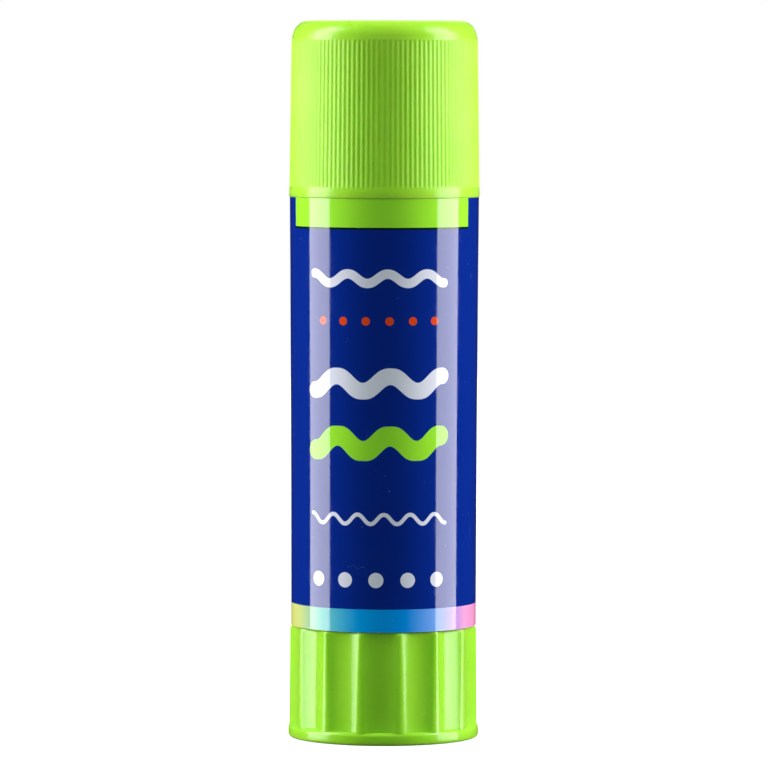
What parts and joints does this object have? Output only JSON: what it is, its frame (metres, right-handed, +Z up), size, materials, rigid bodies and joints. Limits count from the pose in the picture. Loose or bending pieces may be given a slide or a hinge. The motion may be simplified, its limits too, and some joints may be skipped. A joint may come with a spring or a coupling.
{
  "type": "glue stick",
  "caption": "Twist-up glue stick with a ribbed push-on cap, a labelled barrel and a fluted turning base that raises and lowers the glue on a threaded spindle.",
  "frame": {"origin": "centre of the standing face, on the axis of the stick", "axes": "+Z up along the stick, -Y towards the front of the label"},
  "size_m": [0.029, 0.029, 0.1091],
  "materials": {
    "barrel_plastic": "satin moulded polypropylene",
    "label_film": "glossy printed film, blue with a green panel and a rainbow band",
    "cap_plastic": "glossy moulded lime green",
    "knob_plastic": "glossy moulded lime green",
    "inner_plastic": "natural moulded plastic",
    "glue": "waxy white glue"
  },
  "bodies": {
    "barrel": {"barrel": "barrel_plastic", "label": "label_film"},
    "cap": {"cap": "cap_plastic"},
    "knob": {"knob": "knob_plastic", "spindle": "inner_plastic"},
    "carrier": {"carrier": "inner_plastic", "glue_stick": "glue"}
  },
  "joints": [
    {"name": "cap_pull", "type": "slide", "parent": "barrel", "child": "cap", "axis": [0, 0, 1], "range_m": [0, 0.04]},
    {"name": "knob_turn", "type": "hinge", "parent": "barrel", "child": "knob", "pos_m": [0, 0, 0], "axis": [0, 0, 1], "range_deg": [-2880, 720]},
    {"name": "carrier_rise", "type": "slide", "parent": "barrel", "child": "carrier", "axis": [0, 0, 1], "range_m": [-0.0401, 0.0101]}
  ],
  "couplings": [
    {"joint": "carrier_rise", "follows": "knob_turn", "m_per_rad": 0.00079577}
  ]
}
